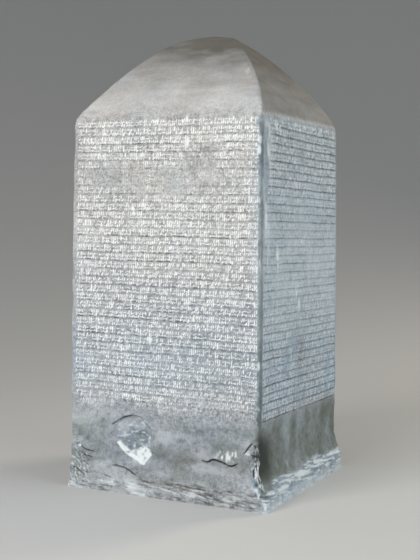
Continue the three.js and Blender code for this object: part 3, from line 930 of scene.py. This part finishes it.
def make_panel(name, points, marks, split, shift):
    """A closed panel: the carved face, a wall back from its rim, and a hidden back drawn to one
    point. The split is the column where the face turns a corner, for the bake map."""
    rows, cols = points.shape[:2]
    index = np.arange(rows * cols).reshape(rows, cols)
    rim = np.concatenate([index[0, :-1], index[:-1, -1], index[-1, :0:-1], index[:0:-1, 0]])
    face_points = points.reshape(-1, 3)
    inward = -normals(points, False).reshape(-1, 3)[rim] * [1, 1, 0]
    back = face_points[rim] + inward * PANEL_RIM
    middle = back.mean(0)
    every = np.concatenate([face_points, back, [middle]]) - shift
    quads = grid_faces(rows, cols, False)
    behind = rows * cols + np.arange(len(rim))
    walls = np.stack([rim, behind, np.roll(behind, -1), np.roll(rim, -1)], -1)
    closing = np.stack([behind, np.full(len(rim), rows * cols + len(rim)), np.roll(behind, -1)], -1)
    extra = len(rim) + 1
    flat_marks = {m: np.concatenate([values.ravel(), np.zeros(extra)]) for m, values in marks.items()}

    # The bake map: the part before the corner above, the part after it below, and the walls and
    # back in a strip at the foot.
    strip, gap = 0.02, 0.01
    row_of, col_of = np.divmod(quads, cols)
    after = (col_of.min(1) >= split - 1)[:, None] if split < cols else np.zeros((len(quads), 1), bool)
    half = (1 - strip) / 2 if split < cols else 1 - strip
    u = np.where(after, (col_of - split + 1) / max(cols - split, 1), col_of / (split - 1))
    low = np.where(after | (split >= cols), strip + gap, strip + half + gap)
    v = low + row_of / (rows - 1) * (half - 2 * gap)
    face_uv = np.stack([u, v], -1).reshape(-1, 2)
    along = np.arange(len(rim)) / len(rim)
    following = along + 1 / len(rim)
    zero = np.zeros(len(rim))
    uv_walls = np.stack([along, zero + strip, along, zero + strip / 2, following, zero + strip / 2,
                         following, zero + strip], -1)
    uv_back = np.stack([along, zero + strip / 2, along, zero, following, zero + strip / 2], -1)
    uv = np.concatenate([face_uv, uv_walls.reshape(-1, 2), uv_back.reshape(-1, 2)])
    return make_mesh(name, every, [quads, walls, closing], flat_marks, uv)


def make_panels(shift):
    """The near panel in four courses, parted along ruled lines, and one panel on each far face."""
    (points, marks), heights, split = near_panel()
    parts = [FIELD_FOOT + rows * ROW for rows in (1, 13, 24)]
    cuts = [0] + [int(np.searchsorted(heights, part - 1e-6)) for part in parts] + [len(heights) - 1]
    names = ("near_foot", "near_inscription_low", "near_inscription_middle", "near_inscription_top")
    panels = []
    for name, first, last in zip(names, cuts, cuts[1:]):
        course = slice(first, last + 1)
        kept = {mark: values[course] for mark, values in marks.items()}
        panels.append(make_panel(name, points[course], kept, split, shift))
    for name, face, foot, rows in (("back_inscription", 2, FIELD_FOOT, ROWS),
                                   ("left_inscription", 3, LEFT_FOOT, LEFT_ROWS)):
        (points, marks), split = far_panel(face, foot, rows, 3 + face)
        panels.append(make_panel(name, points, marks, split, shift))
    return panels


# ---- The stone's finish ----
class Nodes:
    """A small hand for laying out a material's nodes."""

    def __init__(self, material):
        material.use_nodes = True
        self.tree = material.node_tree
        self.tree.nodes.clear()
        self.place = self.add("ShaderNodeTexCoord").outputs["Object"]

    def add(self, kind, **settings):
        node = self.tree.nodes.new(kind)
        for key, value in settings.items():
            setattr(node, key, value)
        return node

    def link(self, source, socket):
        self.tree.links.new(source, socket)

    def plug(self, value, socket):
        """Link an output to the socket, or set its number or colour."""
        if isinstance(value, bpy.types.NodeSocket):
            self.link(value, socket)
        else:
            socket.default_value = (*value, 1) if isinstance(value, tuple) else value

    def noise(self, scale, detail=3.0, roughness=0.55, stretch=(1, 1, 1)):
        mapping = self.add("ShaderNodeMapping")
        mapping.inputs["Scale"].default_value = stretch
        self.link(self.place, mapping.inputs["Vector"])
        node = self.add("ShaderNodeTexNoise")
        self.link(mapping.outputs["Vector"], node.inputs["Vector"])
        node.inputs["Scale"].default_value = scale
        node.inputs["Detail"].default_value = detail
        node.inputs["Roughness"].default_value = roughness
        return node.outputs["Fac"]

    def ramp(self, source, stops):
        node = self.add("ShaderNodeValToRGB")
        elements = node.color_ramp.elements
        while len(elements) < len(stops):
            elements.new(0.5)
        for element, (place, colour) in zip(elements, stops):
            element.position = place
            element.color = (*colour, 1) if isinstance(colour, tuple) else (colour,) * 3 + (1,)
        self.link(source, node.inputs["Fac"])
        return node.outputs["Color"]

    def mix(self, kind, amount, first, second):
        node = self.add("ShaderNodeMix", data_type="RGBA", blend_type=kind)
        for value, index in ((amount, 0), (first, 6), (second, 7)):
            self.plug(value, node.inputs[index])
        return node.outputs[2]

    def mark(self, name):
        return self.add("ShaderNodeAttribute", attribute_name=name).outputs["Fac"]

    def maths(self, operation, *values):
        node = self.add("ShaderNodeMath", operation=operation)
        for value, socket in zip(values, node.inputs):
            self.plug(value, socket)
        return node.outputs[0]

    def bump(self, source, distance):
        node = self.add("ShaderNodeBump")
        node.inputs["Strength"].default_value = 0.6
        node.inputs["Distance"].default_value = distance
        self.link(source, node.inputs["Height"])
        return node

    def height(self):
        node = self.add("ShaderNodeSeparateXYZ")
        self.link(self.place, node.inputs["Vector"])
        return node.outputs["Z"]


def grey(level, warm=0.0):
    """A stone grey as linear colour, warmer above zero and cooler below."""
    return (level * (1 + 0.10 * warm), level, level * (1 - 0.12 * warm))


# By height, as a share of the stone's: the colour, darkest low on the shaft and lightest at the head,
# and how strongly the grain shows.
STONE_LEVELS = [
    (0.00, grey(0.40, -0.4)),
    (0.04, grey(0.38, -0.4)),
    (0.08, grey(0.33, -0.8)),
    (0.16, grey(0.35, -0.8)),
    (0.22, grey(0.39, -0.5)),
    (0.40, grey(0.38, -0.3)),
    (0.56, grey(0.44, -0.1)),
    (0.79, grey(0.43, 0.0)),
    (0.83, grey(0.51, 0.0)),
]
GRAIN_LEVELS = [(0.04, 0.65), (0.06, 0.35), (0.15, 0.35), (0.19, 0.72), (0.80, 0.72), (0.84, 0.26)]
BLOOM, MOSS_AND_SHADE, SKIN_AND_SHADE = (0.265, 0.390, 0.515), (0.134, 0.163, 0.134), (0.125, 0.112, 0.090)
RUST, DARK, RULE_DARK = (0.15, 0.105, 0.066), (0.024, 0.030, 0.028), (0.026, 0.034, 0.038)
DUST, FRESH_AND_HIGHLIGHT = (0.95, 0.96, 0.96), (0.82, 0.87, 0.89)


def stone_material():
    """Weathered grey stone: level by height, blotches, streaks and grain, then the marked films and
    stains with painted shade among them, dark rules with painted shade in their grooves, dusty
    strokes, and freshly broken stone with painted highlight, laid over it."""
    material = bpy.data.materials.new("weathered_stone")
    n = Nodes(material)
    uneven = n.maths("MULTIPLY_ADD", n.noise(9.0, 3.0), 0.07, -0.035)
    zone = n.maths("DIVIDE", n.maths("ADD", n.height(), uneven), HEIGHT)
    colour = n.ramp(zone, STONE_LEVELS)
    blotch = n.ramp(n.noise(6.0, 4.0, 0.6), [(0.30, 0.76), (0.50, 0.97), (0.70, 1.12)])
    colour = n.mix("MULTIPLY", 0.55, colour, blotch)
    streaks = n.noise(30.0, 4.0, 0.6, (0.35, 0.35, 1.6))
    streaks = n.ramp(streaks, [(0.32, 0.78), (0.5, 1.0), (0.68, 1.15)])
    colour = n.mix("MULTIPLY", 0.6, colour, streaks)
    rubbed = n.ramp(zone, GRAIN_LEVELS)
    mottled = n.ramp(zone, [(0.16, 1.0), (0.20, 0.72), (0.80, 0.72), (0.84, 0.26)])
    mottle = n.ramp(n.noise(75.0, 4.0, 0.65), [(0.32, 0.64), (0.5, 1.0), (0.70, 1.24)])
    colour = n.mix("MULTIPLY", mottled, colour, mottle)
    grain = n.ramp(n.noise(300.0, 2.0, 0.7), [(0.32, 0.58), (0.5, 1.0), (0.68, 1.35)])
    colour = n.mix("MULTIPLY", rubbed, colour, grain)
    tint = n.ramp(n.noise(8.0, 2.0), [(0.40, grey(1.0, -0.35)), (0.60, grey(1.0, 0.35))])
    colour = n.mix("MULTIPLY", 0.45, colour, tint)

    dust = n.ramp(n.noise(90.0, 2.0), [(0.30, 0.55), (0.55, 1.0)])
    over = [  # how much of it there is, how well it covers, its colour
        (n.mark("cool"), 0.70, n.mix("MULTIPLY", 0.8, BLOOM, mottle)),
        (n.mark("moss_and_shade"), 0.85, n.mix("MULTIPLY", 0.5, MOSS_AND_SHADE, mottle)),
        (n.mark("film_and_shade"), 0.92, n.mix("MULTIPLY", 0.9, SKIN_AND_SHADE, streaks)),
        (n.mark("tan"), 0.80, RUST),
        (n.mark("shade"), 0.94, DARK),
        # Painted shade in the ruled grooves, with dirt
        (n.mark("rule"), 0.93, RULE_DARK),
        (n.maths("MULTIPLY", n.mark("groove"), dust), 0.96, DUST),
        (n.mark("fresh_and_highlight"), 0.97, FRESH_AND_HIGHLIGHT),
    ]
    for amount, cover, tone in over:
        colour = n.mix("MIX", n.maths("MULTIPLY", amount, cover), colour, tone)

    shader = n.add("ShaderNodeBsdfPrincipled")
    n.link(colour, shader.inputs["Base Color"])
    rough = n.ramp(n.noise(24.0, 3.0), [(0.3, 0.72), (0.7, 0.94)])
    n.link(rough, shader.inputs["Roughness"])
    shader.inputs["Specular IOR Level"].default_value = 0.35
    fine = n.bump(n.noise(480.0, 2.0, 0.6), 0.0007)
    coarse = n.bump(n.noise(110.0, 4.0, 0.6), 0.0020)
    n.link(fine.outputs["Normal"], coarse.inputs["Normal"])
    n.link(coarse.outputs["Normal"], shader.inputs["Normal"])
    output = n.add("ShaderNodeOutputMaterial")
    n.link(shader.outputs["BSDF"], output.inputs["Surface"])
    return material


# ---- The studio ----
FLOOR_FLAT, FLOOR_CURVE = 1.6, 8  # how far the floor is flat, and the radius of its rise


def studio_floor():
    """A pale floor that curves up far away on all sides, so that no edge of it shows."""
    bend = np.linspace(0.04, np.pi / 2, 24)
    radius = np.concatenate([[0.0, 0.5, 1.0, FLOOR_FLAT], FLOOR_FLAT + FLOOR_CURVE * np.sin(bend)])
    rise = np.concatenate([np.zeros(4), FLOOR_CURVE - FLOOR_CURVE * np.cos(bend)])
    turn = np.linspace(0, 2 * np.pi, 97)[:-1]
    rad, ang = np.meshgrid(radius[1:], turn, indexing="ij")
    high = np.broadcast_to(rise[1:, None], rad.shape)
    points = np.stack([rad * np.cos(ang), rad * np.sin(ang), high], -1).reshape(-1, 3)
    quads = grid_faces(len(radius) - 1, len(turn), True)
    col = np.arange(len(turn))
    fan = np.stack([np.full(len(turn), len(points)), col, (col + 1) % len(turn)], -1)
    mesh = bpy.data.meshes.new("studio_floor")
    every = np.concatenate([points, [[0, 0, 0]]])
    mesh.from_pydata(every.tolist(), [], quads[:, ::-1].tolist() + fan.tolist())
    mesh.shade_smooth()
    floor = bpy.data.objects.new("studio_floor", mesh)
    bpy.context.scene.collection.objects.link(floor)
    material = bpy.data.materials.new("pale_floor")
    material.use_nodes = True
    shader = material.node_tree.nodes["Principled BSDF"]
    shader.inputs["Base Color"].default_value = (0.62, 0.62, 0.61, 1)
    shader.inputs["Roughness"].default_value = 0.9
    mesh.materials.append(material)


def area_light(name, azimuth, height, distance, size, power, colour):
    """A square soft light aimed at the middle of the stone; azimuth 0 is in front of it."""
    turn = np.radians(azimuth)
    light = bpy.data.lights.new(name, "AREA")
    light.size = size
    light.energy = power
    light.color = colour
    lamp = bpy.data.objects.new(name, light)
    lamp.location = (distance * np.sin(turn), -distance * np.cos(turn), height)
    aim = Vector((0, 0, HEIGHT * 0.55)) - lamp.location
    lamp.rotation_mode = "QUATERNION"
    lamp.rotation_quaternion = aim.to_track_quat("-Z", "Y")
    bpy.context.scene.collection.objects.link(lamp)


def studio_lights():
    """A large soft key in front, a cool fill on the right, a warm rim behind and a pale sky."""
    area_light("key", -12, 1.9, 3.2, 2.0, 95, (1.0, 0.99, 0.97))
    area_light("cool_fill", 82, 1.3, 3.2, 1.8, 34, (0.86, 0.95, 1.0))
    area_light("warm_rim", 150, 2.4, 3.0, 1.0, 40, (1.0, 0.90, 0.74))
    world = bpy.data.worlds.new("studio")
    world.use_nodes = True
    sky = world.node_tree.nodes["Background"]
    sky.inputs["Color"].default_value = (0.80, 0.82, 0.85, 1)
    sky.inputs["Strength"].default_value = 0.32
    bpy.context.scene.world = world


# The camera turns about the stone's upright axis. It is tipped, rolled and yawed a little.
CAMERA_AZIMUTH, CAMERA_PITCH, CAMERA_ROLL = np.radians([26.799, -3.4582, 0.5037])
CAMERA_DISTANCE, CAMERA_HEIGHT, CAMERA_YAW = 2.698, 0.6652, -0.00072
LENS, SENSOR = 68.65, 36.0


def make_camera(shift):
    """A long lens from the front right, a little over half the stone's height, tipped down."""
    place = np.array([np.sin(CAMERA_AZIMUTH), -np.cos(CAMERA_AZIMUTH), 0]) * CAMERA_DISTANCE
    place[2] = CAMERA_HEIGHT
    yaw = CAMERA_AZIMUTH + CAMERA_YAW
    level = np.cos(CAMERA_PITCH)
    forward = Vector((-np.sin(yaw) * level, np.cos(yaw) * level, np.sin(CAMERA_PITCH)))
    right = Vector((np.cos(yaw), np.sin(yaw), 0))
    up = right.cross(forward)
    turned_right = np.cos(CAMERA_ROLL) * right + np.sin(CAMERA_ROLL) * up
    turned_up = -np.sin(CAMERA_ROLL) * right + np.cos(CAMERA_ROLL) * up
    data = bpy.data.cameras.new("camera")
    data.lens = LENS
    data.sensor_width = SENSOR
    data.clip_start = 0.05
    camera = bpy.data.objects.new("camera", data)
    turn = Matrix((turned_right, turned_up, -forward)).transposed().to_4x4()
    camera.matrix_world = Matrix.Translation(Vector(place - shift)) @ turn
    bpy.context.scene.collection.objects.link(camera)
    bpy.context.scene.camera = camera


# ---- Putting it together ----
body, shift = make_body()
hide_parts("stele")
stone = stone_material()
pieces = [body] + make_panels(shift)
for piece in pieces:
    piece.data.materials.append(stone)
    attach(piece, "root")

studio_floor()
studio_lights()
make_camera(shift)
bpy.context.scene.view_settings.view_transform = "Standard"
